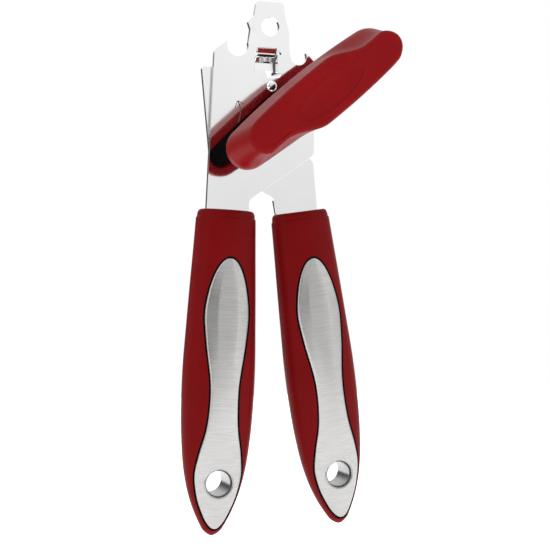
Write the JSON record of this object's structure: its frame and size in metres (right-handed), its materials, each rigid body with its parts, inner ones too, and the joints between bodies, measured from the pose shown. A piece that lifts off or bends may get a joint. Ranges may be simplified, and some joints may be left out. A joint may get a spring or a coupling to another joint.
{
  "type": "manual can opener",
  "caption": "Hand-held can opener with two crossing arms, an oval turning knob, a feed wheel, a cutter wheel and inlaid soft grips.",
  "frame": {"origin": "centre of the hang hole in the head of the front plate, half-way through the plate", "axes": "+Z from the grips to the head, +X to the right seen from the knob side, +Y from the knob side to the back"},
  "size_m": [0.0774, 0.0484, 0.2071],
  "materials": {
    "plate_steel": "polished",
    "rivet_steel": "polished",
    "hard_steel": "ground",
    "inlay_steel": "brushed across",
    "grip_red": "soft satin",
    "knob_red": "satin",
    "black_plastic": "matt"
  },
  "bodies": {
    "left_arm": {"front_plate": "plate_steel", "left_grip": "grip_red", "left_core": "black_plastic", "left_inlay": "inlay_steel", "left_tang_pin_1": "rivet_steel", "left_tang_pin_2": "rivet_steel", "left_eyelet": "inlay_steel", "pivot_rivet": "rivet_steel", "pivot_washer": "rivet_steel", "closing_stop_pin": "rivet_steel", "opening_stop_pin": "rivet_steel", "shaft_bushing": "rivet_steel"},
    "right_arm": {"rear_plate": "plate_steel", "right_grip": "grip_red", "right_core": "black_plastic", "right_inlay": "inlay_steel", "right_tang_pin_1": "rivet_steel", "right_tang_pin_2": "rivet_steel", "right_eyelet": "inlay_steel", "cutter_stud": "rivet_steel", "cutter_washer": "rivet_steel"},
    "drive": {"knob": "knob_red", "knob_core": "black_plastic", "drive_shaft": "hard_steel", "spring_washer": "rivet_steel", "feed_wheel": "hard_steel", "feed_nut": "rivet_steel"},
    "cutter": {"cutter_wheel": "hard_steel"}
  },
  "joints": [
    {"name": "handle_pivot", "type": "hinge", "parent": "left_arm", "child": "right_arm", "pos_m": [-0.0033, 0, -0.0468], "axis": [0, -1, 0], "range_deg": [-7, 38]},
    {"name": "knob_turn", "type": "hinge", "parent": "left_arm", "child": "drive", "pos_m": [0.0094, 0, -0.0296], "axis": [0, -1, 0], "continuous": true},
    {"name": "cutter_spin", "type": "hinge", "parent": "right_arm", "child": "cutter", "pos_m": [-0.00669, 0, -0.02989], "axis": [0, -1, 0], "continuous": true}
  ]
}
